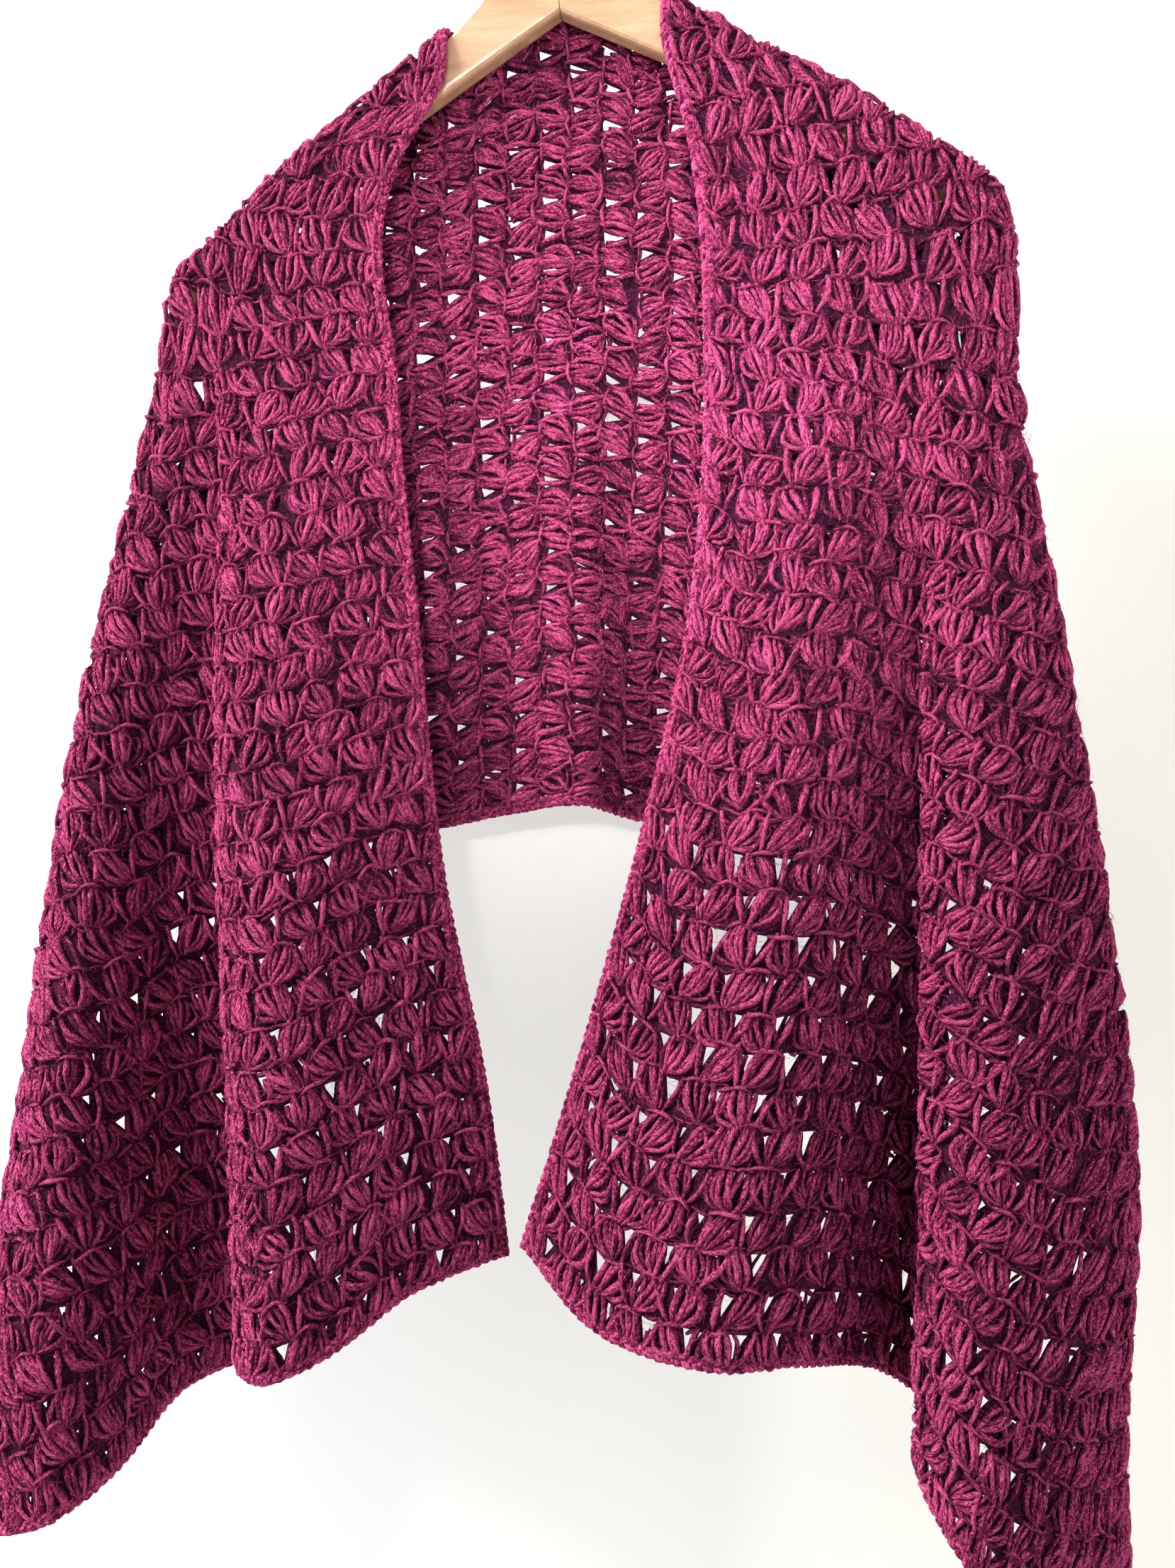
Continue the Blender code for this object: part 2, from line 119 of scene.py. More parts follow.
# name, where it crosses the arm, points left out at the neck, clearance, height of the hem, x and y
BACK_FOLDS = (
    ("left_side", -172, 0, 0, -600, (-180, -190, -197, -202), (13, 20, 28, 31)),
    ("left_fold", -120, 0, 0, -585, (-122, -126, -131, -136), (12, 17, 25, 29)),
    ("left_shoulder", -88, 0, 0, -577, (-91, -95, -99, -102), (12, 15, 22, 25)),
    ("left_neck", -63, 0, 0, -573, (-66, -72, -76, -79), (12, 14, 19, 22)),
    ("left_neck_turn", -58, 1, 0.8, -570, (-58, -63, -66, -68), (12, 14, 18, 20)),
    ("left_neck_back", -53, 2, 0, -568, (-50, -53, -56, -57), (12, 13, 17, 18)),
    ("left_middle", (-24, -113), 0, 0, -562, (-25, -26, -27, -28), (11, 13, 14, 11)),
    ("ridge", (10, -107), 0, 0, -556, (11, 12, 13, 14), (11, 13, 8, 3)),
    ("hollow", (33, -109), 0, 0, -565, (36, 39, 42, 44), (12, 18, 27, 33)),
    ("right_neck_back", 45, 2, 0.8, -568, (54, 58, 62, 64), (12, 19, 29, 36)),
    ("right_neck_turn", 51, 1, 2.0, -571, (61, 66, 71, 74), (12, 19, 29, 35)),
    ("right_neck", 56, 0, 0.5, -574, (68, 75, 81, 85), (12, 18, 28, 33)),
    ("right_shoulder", 86, 0, 0, -580, (95, 102, 109, 113), (12, 17, 27, 31)),
    ("right_fold", 120, 0, 0, -588, (124, 131, 139, 145), (12, 17, 25, 28)),
    ("right_side", 172, 0, 0, -603, (181, 190, 200, 207), (13, 20, 28, 31)),
)
TOP_DROPS = (0.0, 0.013, 0.027, 0.052)


def smooth(keys, values, at, level=False):
    """A smooth curve through values at keys, along the first axis. A level one never overshoots."""
    keys, values, at = np.asarray(keys, float), np.asarray(values, float), np.asarray(at, float)
    wide = (-1,) + (1,) * (values.ndim - 1)
    step = np.diff(keys).reshape(wide)
    slope = np.diff(values, axis=0) / step
    inner = (slope[:-1] * step[1:] + slope[1:] * step[:-1]) / (step[1:] + step[:-1])
    if level:
        both = slope[:-1] * slope[1:]
        inner = np.where(both > 0, 2 * both / (slope[:-1] + slope[1:] + 1e-12 * (both <= 0)), 0.0)
    tangent = np.concatenate([slope[:1], inner, slope[-1:]])
    i = np.clip(np.searchsorted(keys, at, side="right") - 1, 0, len(keys) - 2)
    h = (keys[i + 1] - keys[i]).reshape(wide)
    t = (at - keys[i]).reshape(wide) / h
    return (
        (2 * t**3 - 3 * t**2 + 1) * values[i]
        + (t**3 - 2 * t**2 + t) * h * tangent[i]
        + (3 * t**2 - 2 * t**3) * values[i + 1]
        + (t**3 - t**2) * h * tangent[i + 1]
    )


def arm_top(out, side):
    high = np.interp(out, *zip(*ARM_HIGH))
    return (
        side * out * math.cos(TILT) - high * math.sin(TILT),
        side * out * math.sin(TILT) + high * math.cos(TILT),
    )


def over_arm(out, side, y_sign):
    x, top = arm_top(out, side)
    return [
        (x, y_sign * 0.8, top + CREST_RISE),
        (x, y_sign * (FACE_OUT - 3.4), top + CREST_RISE - 1.3),
        (x, y_sign * FACE_OUT, top - 5.0),
        (x, y_sign * (FACE_OUT + 0.8), top - 21.0),
    ]


def hang(start, foot, drops, xs, ys):
    top = start[0][2]
    return np.array(start + [(x, y, top + d * (foot - top)) for d, x, y in zip(drops, xs, ys)], float)


def front_line(row, side):
    name, _, out, foot, xs, ys = row
    x, top = arm_top(out, side)
    if name == "side":
        ends = ((3.8, 0.0, 3.2), (5.2, 0.0, -3.0), (6.0, 0.0, -10.0), (9.0, 0.0, -25.0))
    elif name == "heel":
        ends = ((1.2, 1.6, 4.0), (2.2, 6.8, 1.6), (3.2, 9.8, -6.0), (5.5, 11.0, -22.0))
    else:
        return hang(over_arm(out, side, 1 if name == "rear" else -1), foot, DROPS, xs, ys)
    return hang([(x + side * a, y, top + b) for a, y, b in ends], foot, DROPS, xs, ys)


class Drape:
    """A stretch of cloth as a smooth surface across its fold lines."""

    def __init__(self, keys, lines, across, level):
        self.keys, self.lines, self.level = keys, np.stack(lines, axis=1), level
        self.across = np.asarray(across, float)

    def grid(self, across, drops):
        """Points on the whole grid, rows by drop and columns by place across."""
        down = smooth(self.keys, self.lines, drops)
        return smooth(self.across, down.transpose(1, 0, 2), across, self.level).transpose(1, 0, 2)


def front_drape(rows, side):
    lines = [front_line(row, side) for row in rows]
    return Drape(TOP_DROPS + DROPS, lines, [row[1] for row in rows], False)


left, right = front_drape(LEFT_FOLDS, -1), front_drape(RIGHT_FOLDS, 1)


def back_drape():
    seams = []
    for front, side in ((left, -1), (right, 1)):
        drops = np.array([*TOP_DROPS, *BACK_DROPS]) * HEM_DROP
        line = front.grid([front.across[-1]], drops)[:, 0]
        line[:, 0] -= side * SEAM_TURN
        seams.append(line)
    middle = []
    for _, out, skip, clear, foot, xs, ys in BACK_FOLDS:
        if isinstance(out, tuple):
            start = [(out[0], FACE_OUT + 0.6, out[1] - d) for d in (0.0, 5.0, 11.0, 22.0)]
        else:
            start = over_arm(abs(out), math.copysign(1, out), 1)[skip:]
            start[:2] = [(x, y + clear, z + clear) for x, y, z in start[:2]]
            while len(start) < 4:
                x, _, z = start[-1]
                start.append((x, FACE_OUT + 0.8, z - 8.0))
        middle.append(hang(start, foot, BACK_DROPS, xs, ys))
    lines = [seams[0], *middle, seams[1]]
    feet = np.array([line[-1] for line in lines])
    across = np.concatenate([[0], np.cumsum(np.linalg.norm(np.diff(feet, axis=0), axis=1))])
    return Drape(TOP_DROPS + BACK_DROPS, lines, across, True)


back = back_drape()


INSET = 4.5  # how far the stitches stop from an edge that has an edging
MEASURED_ACROSS, MEASURED_DOWN = 150, 220  # points at which a stretch is measured before counting
MIDDLE_X, MIDDLE_COUNT = 8.0, 40.0  # the back is counted both ways from here, so its rows stay upright


class Cells:
    """Places on a stretch by counted stitches: down it and across it."""

    FINE = 12  # table points a cell

    def __init__(self, drape, level, pitch_down, pitch_across, total_down, outside, from_middle=False):
        """level is the height where the first row starts, outside the way that the face looks."""
        a = np.linspace(0, drape.across[-1], MEASURED_ACROSS)
        tops = drape.grid(a, [0.0])[0]
        start = np.maximum(0.0, (level - tops[:, 2]) / pitch_down)
        self.down = np.arange(-1.0, total_down + 1e-6, 1 / self.FINE)
        d = np.linspace(0, 1, MEASURED_DOWN)
        base = drape.grid(a, d)
        share = np.clip((self.down[:, None] - start) / (total_down - start), 0, 1)
        k = np.clip(share * (len(d) - 1), 0, len(d) - 1.001)
        low = k.astype(int)
        mix = (k - low)[..., None]
        column = np.arange(len(a))[None, :]
        line = base[low, column] * (1 - mix) + base[low + 1, column] * mix
        run = np.cumsum(np.linalg.norm(np.diff(line, axis=1), axis=2), axis=1)
        run = np.concatenate([np.zeros((len(line), 1)), run], axis=1) / pitch_across
        if from_middle:
            middle = int(np.argmin(np.abs(tops[:, 0] - MIDDLE_X)))
            run = run - run[:, [middle]] + MIDDLE_COUNT
        self.low, self.high = run[:, 0], run[:, -1]
        if not from_middle:
            self.low = self.low + INSET / pitch_across
        self.total = total_down - INSET / pitch_down
        self.first, self.last = math.floor(run[:, 0].min()), math.ceil(run[:, -1].max())
        self.count = np.arange(self.first, self.last + 1e-6, 1 / self.FINE)
        points, begun = [], []
        for row, places, shares in zip(line, run, (self.down[:, None] - start)):
            points.append(np.stack([np.interp(self.count, places, row[:, c]) for c in range(3)], axis=1))
            begun.append(np.interp(self.count, places, shares))
        self.points, self.begun = np.array(points), np.array(begun)
        along = np.gradient(self.points, axis=1)
        fall = np.gradient(self.points, axis=0)
        inside = (self.count[None, :] > self.low[:, None]) & (self.count[None, :] < self.high[:, None])
        normal = np.cross(along, fall)
        size = np.linalg.norm(normal, axis=2, keepdims=True)
        normal = normal / np.maximum(size, 1e-9)
        flip = -1.0 if np.median((normal * outside).sum(2)[inside]) < 0 else 1.0
        self.normal = normal * flip

    def table(self, what, down, count):
        """A value read between the points of one of the tables."""
        i = np.clip((down - self.down[0]) * self.FINE, 0, len(self.down) - 1.001)
        j = np.clip((count - self.first) * self.FINE, 0, len(self.count) - 1.001)
        a, b = i.astype(int), j.astype(int)
        s, t = (i - a)[..., None], (j - b)[..., None]
        if what.ndim == 2:
            what = what[..., None]
        return (
            what[a, b] * (1 - s) * (1 - t)
            + what[a + 1, b] * s * (1 - t)
            + what[a, b + 1] * (1 - s) * t
            + what[a + 1, b + 1] * s * t
        )

    def at(self, down, count, lift):
        """Points in metres at counted places, lifted off the cloth by millimetres."""
        low = np.interp(down, self.down, self.low)
        high = np.interp(down, self.down, self.high)
        count = np.clip(count, low, high)
        down = np.minimum(down, self.total)
        p = self.table(self.points, down, count)
        n = self.table(self.normal, down, count)
        n = n / np.maximum(np.linalg.norm(n, axis=-1, keepdims=True), 1e-9)
        return (p + n * lift[..., None]) * MM

    def has(self, down, count, spare=0.0):
        """Whether a place is on the cloth."""
        low = np.interp(down, self.down, self.low)
        high = np.interp(down, self.down, self.high)
        begun = self.table(self.begun, down, count)[..., 0]
        return (begun > -spare) & (count > low - spare) & (count < high + spare) & (down < self.total)


# one stitch: a shell of strands from a base at the foot of the cell, a long strand that bounds the hole,
# and the chain that binds the shell's top. Places and bows are shares of the cell, the rest millimetres.
BASE = (0.40, 1.02)
# where each strand of the shell ends, and how far it swells out on the way: in front, then behind
FAN_FACE = (
    (0.46, 0.06, -0.08), (0.57, -0.03, -0.04), (0.69, -0.07, 0.00), (0.81, -0.07, 0.05),
    (0.92, -0.02, 0.12), (1.01, 0.08, 0.19), (1.06, 0.24, 0.27),
)
FAN_REAR = ((0.55, 0.00, 0.02), (0.74, -0.05, 0.08), (0.93, 0.00, 0.20), (1.06, 0.18, 0.34))


def strand_table():
    """Every strand in a cell: its two ends, its lift at start, middle and end, how it bows, its radius."""
    lines = []

    def strand(a, b, lift, bow, radius, sides=3, wave=0.02):
        lines.append(dict(a=a, b=b, lift=lift, bow=bow, wave=wave, radius=radius, sides=sides))

    for k, (u, v, bow) in enumerate(FAN_FACE):
        foot = (BASE[0] - 0.05 + 0.02 * k, BASE[1] + 0.02 - 0.01 * k)
        crown = 0.9 + 0.7 * math.sin(math.pi * k / 6)
        strand(foot, (u, v), (0.8, crown, 0.6), bow, 1.5, sides=4, wave=0.03)
    for k, (u, v, bow) in enumerate(FAN_REAR):
        foot = (BASE[0] - 0.04 + 0.03 * k, BASE[1] + 0.02 - 0.015 * k)
        strand(foot, (u, v), (-0.6, -1.2, -0.6), bow, 1.8)
    # the long strand beside the hole, in front and behind, then the chain over the hole and over the shell
    strand((0.24, 1.0), (0.0, 0.02), (1.0, 1.3, 1.2), -0.04, 1.4, sides=4)
    strand((0.27, 1.0), (0.02, 0.0), (-0.6, -0.8, -0.5), -0.03, 1.2)
    strand((-0.08, -0.02), (0.50, 0.03), (-0.4, -0.3, -0.4), 0.02, 1.6, wave=0.03)
    strand((0.38, 0.05), (1.08, 0.10), (0.8, 1.6, 0.8), -0.11, 1.5, wave=0.03)
    return lines


RINGS = 6  # rings on a strand
PLY_LENGTH = 15.0  # length of yarn to one turn of its plies, in the materials
# how uneven hand work is: shares of the cell, radians, then millimetres
SHELL_WANDERS, SHELL_SWINGS, END_STRAYS, BOW_STRAYS = 0.06, 0.13, 0.045, 0.04
SHELL_STANDS_PROUD, STRAND_STANDS_PROUD = 0.3, 0.5
THIN_TO_THICK = (0.88, 1.12)  # from strand to strand
KNOBBLY = 0.13  # along a strand
TAPER_AT, TAPER = (0, 0.2, 0.5, 0.8, 1), (0.6, 0.85, 1.0, 0.97, 0.72)


def yarn(name, cells, places, turned):
    """All the strands of the cells at places, joined into one mesh."""
    down0, count0 = places[:, 0], places[:, 1]
    odd = (np.round(count0 if turned else down0).astype(int) % 2 == 1)[:, None]
    t = np.linspace(0, 1, RINGS)
    n = len(places)
    points, faces, uvs, tones, shade_lifts, used = [], [], [], [], [], 0
    # each shell sits a little askew
    wander = rng.normal(0, SHELL_WANDERS, (n, 2))
    swing = rng.normal(0, SHELL_SWINGS, n)
    proud = rng.normal(0, SHELL_STANDS_PROUD, (n, 1))
    cos, sin = np.cos(swing), np.sin(swing)
    for s in strand_table():
        jitter = rng.normal(0, END_STRAYS, (n, 2, 2))
        a = np.array(s["a"]) + 0.6 * jitter[:, 0]
        b = np.array(s["b"]) + jitter[:, 1]
        go = b - a
        a = a + wander
        b = a + np.stack([go[:, 0] * cos - go[:, 1] * sin, go[:, 0] * sin + go[:, 1] * cos], axis=1)
        line = a[:, None] * (1 - t)[None, :, None] + b[:, None] * t[None, :, None]
        go = b - a
        side = np.stack([-go[:, 1], go[:, 0]], axis=1)
        side /= np.linalg.norm(side, axis=1, keepdims=True)
        wave = 2.0 * math.pi * (0.9 * t[None, :] + rng.uniform(0, 1, (n, 1)))
        bow = s["bow"] + rng.normal(0, BOW_STRAYS, (n, 1))
        offset = bow * np.sin(math.pi * t)[None, :] + s["wave"] * np.sin(wave)
        line = line + side[:, None] * offset[..., None]
        first, crown, last = s["lift"]
        lift = first * (1 - t) + last * t + crown * np.sin(math.pi * t)
        lift = lift[None, :] + 0.3 * np.cos(wave) + rng.normal(0, STRAND_STANDS_PROUD, (n, 1)) + proud
        u, v = np.where(odd, 1 - line[..., 0], line[..., 0]), line[..., 1]
        down, count = (u, v) if turned else (v, u)
        down, count = down + down0[:, None], count + count0[:, None]
        centre = cells.at(down, count, lift)
        along = np.gradient(centre, axis=1)
        along /= np.maximum(np.linalg.norm(along, axis=2, keepdims=True), 1e-9)
        up = cells.at(down, count, lift + 1.0) - centre
        flat = np.cross(along, up)
        flat /= np.maximum(np.linalg.norm(flat, axis=2, keepdims=True), 1e-9)
        up = np.cross(flat, along)
        radius = s["radius"] * MM * np.interp(t, TAPER_AT, TAPER)[None, :, None]
        radius = radius * rng.uniform(*THIN_TO_THICK, (n, 1, 1)) * rng.normal(1, KNOBBLY, (n, RINGS, 1))
        sides = s["sides"]
        turns = np.arange(sides) * 2 * math.pi / sides + 0.5 * math.pi
        ring = [centre + radius * (flat * math.cos(q) + up * math.sin(q)) for q in turns]
        points.append(np.stack(ring, axis=2).reshape(-1, 3))
        quad = [
            (low + i, low + (i + 1) % sides, low + sides + (i + 1) % sides, low + sides + i)
            for low in range(0, (RINGS - 1) * sides, sides)
            for i in range(sides)
        ]
        size = RINGS * sides
        faces.append((used + np.arange(n)[:, None, None] * size + np.array(quad)[None]).reshape(-1, 4))
        used += n * size
        # how far along the strand and round it each corner is, for the plies
        length = np.linalg.norm(np.diff(centre, axis=1), axis=2).sum(1) / (PLY_LENGTH * MM)
        uv = np.array([
            [(k / (RINGS - 1), i / sides), (k / (RINGS - 1), (i + 1) / sides),
             ((k + 1) / (RINGS - 1), (i + 1) / sides), ((k + 1) / (RINGS - 1), i / sides)]
            for k in range(RINGS - 1)
            for i in range(sides)
        ])
        uv = uv.reshape(1, -1, 2) * np.stack([length, np.ones(n)], axis=1)[:, None]
        uv = uv + rng.uniform(0, 9, (n, 1, 1))
        uvs.append(uv.reshape(-1, 2))
        tones.append(np.repeat(rng.uniform(0, 1, n), size))
        height = lift[..., None] + (radius / MM) * np.sin(turns)[None, None, :]
        # how proud each corner stands, for the painted shade that darkens low strands
        shade_lifts.append(height.ravel())
    made = mesh_piece(name, np.concatenate(points), np.concatenate(faces))
    finish_mesh(made, np.concatenate(uvs), np.concatenate(tones), np.concatenate(shade_lifts))
    return made


UNSHADED_LIFT = 4.0  # millimetres off the middle of the cloth from which the wool is palest; lower strands are painted darker, as shade in the recesses


def finish_mesh(made, uv, tone, rise):
    """Gives a piece its places for the plies, a tone for each strand, and how proud it stands, which paints
    shade: the lower a strand lies, the darker it is.
    """
    made.data.uv_layers.new(name="ply").data.foreach_set("uv", np.asarray(uv, np.float32).ravel())
    # painted shade: 0 at the middle of the cloth, where the wool is darkest, rising to 1 where it stands
    # fully proud
    rise = np.clip(np.abs(rise) / UNSHADED_LIFT, 0, 1)
    for label, values in (("tone", tone), ("rise", rise)):
        layer = made.data.attributes.new(label, "FLOAT", "POINT")
        layer.data.foreach_set("value", np.asarray(values, np.float32))


def mesh_piece(name, points, faces):
    """A smooth-shaded object from arrays of points in metres and faces of equal size."""
    faces = np.asarray(faces, np.int32)
    mesh = bpy.data.meshes.new(name)
    mesh.vertices.add(len(points))
    mesh.vertices.foreach_set("co", np.asarray(points, np.float32).ravel())
    mesh.loops.add(faces.size)
    mesh.loops.foreach_set("vertex_index", faces.ravel())
    mesh.polygons.add(len(faces))
    mesh.polygons.foreach_set("loop_start", np.arange(len(faces), dtype=np.int32) * faces.shape[1])
    mesh.polygons.foreach_set("use_smooth", np.ones(len(faces), bool))
    mesh.update(calc_edges=True)
    made = bpy.data.objects.new(name, mesh)
    bpy.context.scene.collection.objects.link(made)
    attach(made, "root")
    return made


def openness(name, cells, places):
    """How far the holes are pulled open: most where one layer hangs free, and over the ends of the arms."""
    down, count = places[:, 0] + 0.5, places[:, 1] + 0.5
    if name == "cloth_back":
        wide = np.interp(down, (0, 2, 11, 16), (0.7, 1.0, 0.95, 0.5))
    elif name == "cloth_right":
        wide = np.interp(count, (0, 9, 12), (1.05, 1.0, 0.6))
        wide = np.where(down > 32, np.maximum(wide, 0.75), wide)
    else:
        wide = np.interp(down, (0, 20, 28), (1.1, 1.0, 0.55))
        wide = np.where((down > 24) & (count > 10), 0.25, wide)
    x, _, z = (cells.at(down, count, np.zeros(len(down))) / MM).T
    over_arm_end = (np.abs(x) > 165) & (z > -280)
    return np.where(over_arm_end, 1.15, wide)


# the cloth behind the strands: one cell with its triangular hole, places as shares of the cell. The real
# cloth has no such sheet: it stands for the yarn behind the strands, and is coloured dark as painted shade in
# the gaps
GROUND_POINTS = (
    (0.0, 0.0), (0.5, 0.0), (1.0, 0.0), (1.0, 0.5), (1.0, 1.0), (0.5, 1.0), (0.0, 1.0), (0.0, 0.5),
    (0.07, 0.10), (0.43, 0.07), (0.25, 0.60), (0.68, 0.45),
)
GROUND_FACES = (
    (0, 9, 1), (0, 8, 9), (0, 7, 8), (7, 10, 8), (7, 6, 10), (6, 5, 10), (10, 5, 11), (9, 10, 11),
    (9, 11, 1), (1, 11, 2), (2, 11, 3), (3, 11, 4), (4, 11, 5),
)
HOLE = (8, 9, 10)  # its three corners
HOLE_STRAYS, HOLE_SHARE = 0.22, (0.12, 1.2)  # how holes differ in size, and the least and most
SQUEEZED = 1e-8  # square metres


def ground(name, cells, places, turned):
    """A sheet behind the strands, standing for the yarn behind them and coloured as painted shade in the
    gaps, with the stitch holes open, some more than others.
    """
    points = np.repeat(np.array(GROUND_POINTS)[None], len(places), axis=0)
    corners = points[:, HOLE]
    middle = corners.mean(axis=1, keepdims=True)
    wide = openness(name, cells, places) + rng.normal(0, HOLE_STRAYS, len(places))
    points[:, HOLE] = middle + (corners - middle) * np.clip(wide, *HOLE_SHARE)[:, None, None]
    u, v = points[..., 0], points[..., 1]
    down0, count0 = places[:, :1], places[:, 1:]
    odd = np.round(count0 if turned else down0).astype(int) % 2 == 1
    u = np.where(odd, 1 - u, u)
    down, count = (down0 + u, count0 + v) if turned else (down0 + v, count0 + u)
    lift = np.zeros(len(GROUND_POINTS))
    lift[-1] = 1.0
    points = cells.at(down, count, np.broadcast_to(lift, down.shape))
    n = points.shape[1]
    faces = (np.arange(len(places))[:, None, None] * n + np.array(GROUND_FACES)[None]).reshape(-1, 3)
    flat = points.reshape(-1, 3)
    # leave out faces that the edge of the cloth has squeezed to nothing
    corner = flat[faces]
    area = np.linalg.norm(np.cross(corner[:, 1] - corner[:, 0], corner[:, 2] - corner[:, 0]), axis=1) / 2
    return mesh_piece(name, flat, faces[area > SQUEEZED])


def places_on(cells, spare=0.35):
    """Every counted place on the cloth, and those that hang over its edge by up to spare."""
    down = np.arange(0, cells.total)
    count = np.arange(cells.first, cells.last)
    grid = np.stack(np.meshgrid(down, count, indexing="ij"), axis=-1).reshape(-1, 2).astype(float)
    keep = cells.has(grid[:, 0] + 0.5, grid[:, 1] + 0.5, spare)
    return grid[keep]


OUT_FRONT = np.array([0.0, -1.0, 0.0])
# stitch sizes; the cloth hangs sideways behind, so the back's rows run down it
FRONT_ROW, FRONT_COLUMN = 17.5, 21.8
BACK_ROW, BACK_COLUMN = 18.0, 19.5
STRETCHES = {
    "left": Cells(left, -128.0, FRONT_ROW, FRONT_COLUMN, 38, OUT_FRONT),
    "right": Cells(right, -116.0, FRONT_ROW, FRONT_COLUMN, 38, OUT_FRONT),
    "back": Cells(back, -106.0, BACK_COLUMN, BACK_ROW, 23, OUT_FRONT, from_middle=True),
}


def split(places, parts):
    """The places in bands from the top down, for pieces of a handy size."""
    order = places[np.argsort(places[:, 0], kind="stable")]
    return np.array_split(order, parts)


FUZZ = 14000  # loose fibres on each stretch
FUZZ_REACH = (0.15, 0.42)  # shares of a cell
FUZZ_HALF_WIDTH = 0.15


def fuzz(name, cells, many):
    """Loose fibres that stand off the yarn, each a long thin sliver."""
    down = rng.uniform(0, cells.total, many * 2)
    count = rng.uniform(cells.first, cells.last, many * 2)
    keep = cells.has(down, count, 0.2)
    down, count = down[keep][:many], count[keep][:many]
    n = len(down)
    face = np.where(rng.uniform(0, 1, n) < 0.78, 1.0, -1.0)
    turn = rng.uniform(0, 2 * math.pi, n)
    reach = rng.uniform(*FUZZ_REACH, n)
    start = cells.at(down, count, face * rng.uniform(1.5, 3.6, n))
    end_down, end_count = down + reach * np.sin(turn), count + reach * np.cos(turn)
    end = cells.at(end_down, end_count, face * rng.uniform(2.6, 6.0, n))
    way = end - start
    side = np.cross(way, rng.normal(0, 1, (n, 3)))
    side *= FUZZ_HALF_WIDTH * MM / np.maximum(np.linalg.norm(side, axis=1, keepdims=True), 1e-9)
    points = np.stack([start - side, start + side, end], axis=1).reshape(-1, 3)
    made = mesh_piece(name, points, np.arange(3 * n).reshape(-1, 3))
    uv = np.tile([(0.0, 0.0), (0.0, 0.3), (0.4, 0.1)], (n, 1))
    # the fibres stand fully proud, so they take no painted shade
    finish_mesh(made, uv, np.repeat(rng.uniform(0, 1, n), 3), np.full(3 * n, UNSHADED_LIFT))
    return made


grounds, yarns = {}, {}
for name, cells in STRETCHES.items():
    turned = name == "back"
    spots = places_on(cells)
    grounds[name] = ground(f"cloth_{name}", cells, spots, turned)
    yarns[name] = [
        yarn(f"stitches_{name}_{k + 1}", cells, part, turned) for k, part in enumerate(split(spots, 2))
    ]
    yarns[name].append(fuzz(f"fuzz_{name}", cells, FUZZ))

# the chain edging: three strands plaited along each edge
EDGE_IN = 3.4  # from the edge of the cloth to the middle of the edging
PLAIT = 15.0  # one turn of the plait
PLAIT_RINGS = 9  # rings a turn
PLAIT_SWING, PLAIT_LIFT, PLAIT_THICK = 2.0, 1.2, 1.8  # how far a strand goes sideways and up, its radius
EDGE_SIDES = 5


def along_edge(drape, across, drops, inward):
    """Evenly spaced points on an edge and the way into the cloth there."""
    line = np.stack([drape.grid([a], [d])[0, 0] for a, d in zip(across, drops)])
    beside = np.stack([drape.grid([a], [d])[0, 0] for a, d in zip(across + inward[0], drops + inward[1])])
    run = np.concatenate([[0], np.cumsum(np.linalg.norm(np.diff(line, axis=0), axis=1))])
    count = max(8, int(round(run[-1] / PLAIT * PLAIT_RINGS)))
    at = np.linspace(0, run[-1], count)
    path = np.stack([np.interp(at, run, line[:, c]) for c in range(3)], axis=1)
    into = np.stack([np.interp(at, run, (beside - line)[:, c]) for c in range(3)], axis=1)
    go = np.gradient(path, axis=0)
    go /= np.linalg.norm(go, axis=1, keepdims=True)
    into -= go * (into * go).sum(1, keepdims=True)
    into /= np.linalg.norm(into, axis=1, keepdims=True)
    return path, into, np.cross(go, into), at


def edging(name, drape, across, drops, inward):
    """A plaited edging in place of one of the solid ones."""
    path, into, up, at = along_edge(drape, np.asarray(across), np.asarray(drops), inward)
    points, n = [], len(path)
    for k in range(3):
        phase = 2 * math.pi * (at / PLAIT + k / 3)
        side = EDGE_IN + PLAIT_SWING * np.sin(phase) + rng.normal(0, 0.15, n)
        lift = PLAIT_LIFT * np.sin(2 * phase) + rng.normal(0, 0.1, n)
        centre = path + into * side[:, None] + up * lift[:, None]
        way = np.gradient(centre, axis=0)
        way /= np.linalg.norm(way, axis=1, keepdims=True)
        flat = np.cross(way, up)
        flat /= np.linalg.norm(flat, axis=1, keepdims=True)
        rise = np.cross(flat, way)
        angle = np.arange(EDGE_SIDES) * 2 * math.pi / EDGE_SIDES
        thick = PLAIT_THICK + 0.12 * rng.normal(0, 1, n)
        ring = centre[:, None] + thick[:, None, None] * (
            flat[:, None] * np.cos(angle)[None, :, None] + rise[:, None] * np.sin(angle)[None, :, None]
        )
        points.append(ring.reshape(-1, 3))
    faces, uv = [], []
    for k in range(3):
        first = k * n * EDGE_SIDES
        for r in range(n - 1):
            for i in range(EDGE_SIDES):
                j = (i + 1) % EDGE_SIDES
                faces.append([first + r * EDGE_SIDES + i, first + r * EDGE_SIDES + j,
                              first + (r + 1) * EDGE_SIDES + j, first + (r + 1) * EDGE_SIDES + i])
                lo, hi = i / EDGE_SIDES, (i + 1) / EDGE_SIDES
                a, b = at[r] / PLY_LENGTH, at[r + 1] / PLY_LENGTH
                uv += [(a, lo), (a, hi), (b, hi), (b, lo)]
    made = mesh_piece(name.replace("edging", "plait"), np.concatenate(points) * MM, faces)
    tone = np.repeat([0.3, 0.6, 0.8], n * EDGE_SIDES)
    # a fixed lift for the plait: a little painted shade all along it
    finish_mesh(made, uv, tone, np.full(len(tone), 3.0))
    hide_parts(name)
    return made


